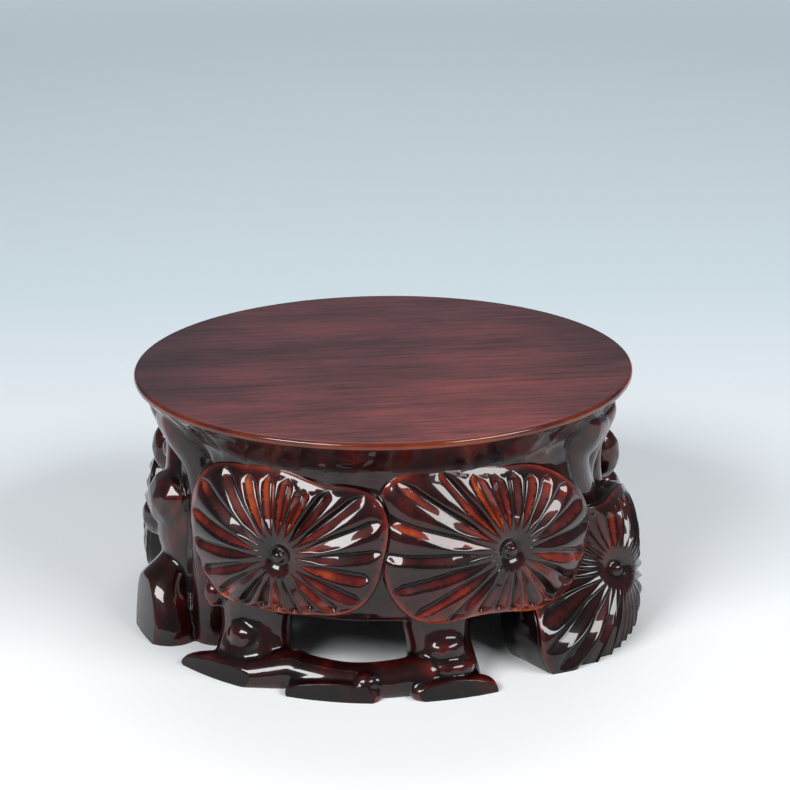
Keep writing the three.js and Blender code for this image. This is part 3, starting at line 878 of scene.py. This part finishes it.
# The dowels: short pegs of bare pale hardwood, glued into blind holes across the joints and
# hidden inside the stand. They keep their modelled shape and get straight grain.
dowel_wood, graph = new_finish("dowel_wood")
where = graph.node("ShaderNodeTexCoord", out=3)
fibres = graph.noise(where, (900, 900, 60), 4, 0.6)
dowel_colour = graph.node("ShaderNodeValToRGB", {"stops": [
    (0.3, (0.36, 0.20, 0.09)),
    (0.7, (0.55, 0.35, 0.19)),
]}, {"Fac": fibres})
fibre_bump = graph.node("ShaderNodeBump", None, {
    "Strength": 0.3, "Distance": 0.0001, "Height": fibres})
dowel_shader = graph.node("ShaderNodeBsdfPrincipled", None, {
    "Base Color": dowel_colour,
    "Roughness": 0.62 + fibres * 0.2,
    "Normal": fibre_bump,
})
graph.node("ShaderNodeOutputMaterial", None, {"Surface": dowel_shader})
for name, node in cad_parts.items():
    if "dowel" in name:
        node.data.materials.clear()
        node.data.materials.append(dowel_wood)


# The photographer's table: a white sheet that turns pale blue-grey further back, a soft box
# high up on either side in front, a third over the sheet behind the stand, and the camera.
floor_finish, graph = new_finish("studio_floor")
where = graph.node("ShaderNodeTexCoord", out=3)
# the ramp runs from half a metre in front of the stand's middle to half a metre behind it
# out of view in front of the stand the sheet is greyer, which dims its reflection in the lacquer
floor_colour = graph.node("ShaderNodeValToRGB", {"stops": [
    (0.14, (0.70, 0.75, 0.79)),
    (0.36, (0.93, 0.95, 0.95)),
    (0.45, (0.92, 0.94, 0.95)),
    (0.50, (0.88, 0.91, 0.94)),
    (0.64, (0.82, 0.87, 0.91)),
    (0.78, (0.72, 0.83, 0.89)),
    (1.00, (0.71, 0.81, 0.87)),
]}, {"Fac": where.part(1) + 0.5})
floor_shader = graph.node("ShaderNodeBsdfPrincipled", None, {
    "Base Color": floor_colour, "Roughness": 0.6, "Specular IOR Level": 0.2})
# far out, beyond the lamps, the sheet and the air over it are seen in one pale blue-grey
far_colour = (0.50, 0.58, 0.64, 1)
far_out = where.length().between(0.8, 1.35)
far_sheet = graph.node("ShaderNodeEmission", None, {"Color": far_colour, "Strength": 1.0})
seen_sheet = graph.node("ShaderNodeMixShader", None, {
    0: far_out * graph.node("ShaderNodeLightPath"), 1: floor_shader, 2: far_sheet})
graph.node("ShaderNodeOutputMaterial", None, {"Surface": seen_sheet})
floor_reach = 4
floor = bmesh.new()
bmesh.ops.create_grid(floor, x_segments=1, y_segments=1, size=floor_reach)
floor_mesh = bpy.data.meshes.new("studio_floor")
floor.to_mesh(floor_mesh)
floor.free()
floor_mesh.materials.append(floor_finish)
studio_floor = bpy.data.objects.new("studio_floor", floor_mesh)
bpy.context.collection.objects.link(studio_floor)


def soft_box(name, position, target, width, depth, power):
    lamp = bpy.data.lights.new(name, "AREA")
    lamp.shape = "RECTANGLE"
    lamp.size = width
    lamp.size_y = depth
    lamp.energy = power
    box = bpy.data.objects.new(name, lamp)
    bpy.context.collection.objects.link(box)
    box.location = position
    box.rotation_euler = (Vector(target) - Vector(position)).to_track_quat("-Z", "Y").to_euler()


stand_middle = (0, 0, 0.03)
soft_box("left_soft_box", (-0.55, -0.68, 0.68), stand_middle, 0.55, 0.3, 8.8)
soft_box("right_soft_box", (0.69, -0.54, 0.68), stand_middle, 0.65, 0.3, 7.8)
soft_box("top_soft_box", (0.0, 0.9, 1.2), (0, 0.85, 0), 0.9, 0.6, 6)
world = bpy.data.worlds.new("studio_air")
world.use_nodes = True
world.node_tree.nodes.clear()
graph = Strand(world.node_tree)
air = graph.node("ShaderNodeBackground", None, {"Color": (0.75, 0.82, 0.88, 1), "Strength": 0.17})
far_air = graph.node("ShaderNodeBackground", None, {"Color": far_colour, "Strength": 1.0})
seen_air = graph.node("ShaderNodeMixShader", None, {
    0: graph.node("ShaderNodeLightPath"), 1: air, 2: far_air})
graph.node("ShaderNodeOutputWorld", None, {"Surface": seen_air})
bpy.context.scene.world = world
bpy.context.scene.view_settings.view_transform = "Standard"

camera_data = bpy.data.cameras.new("camera")
camera_data.sensor_width = 36
camera_data.lens = 94.15
camera_data.clip_start = 0.01
camera = bpy.data.objects.new("camera", camera_data)
bpy.context.collection.objects.link(camera)
view = Vector((0.005527, 0.950066, -0.311999)).normalized()
level = view.cross(Vector((0, 0, 1))).normalized()
upright = level.cross(view)
roll = math.radians(-0.57)
right = level * math.cos(roll) + upright * math.sin(roll)
top = upright * math.cos(roll) - level * math.sin(roll)
turned_to_view = Matrix((right, top, -view)).transposed().to_4x4()
camera_place = (0, -0.47755, 0.20814)
camera.matrix_world = Matrix.Translation(camera_place) @ turned_to_view
bpy.context.scene.camera = camera
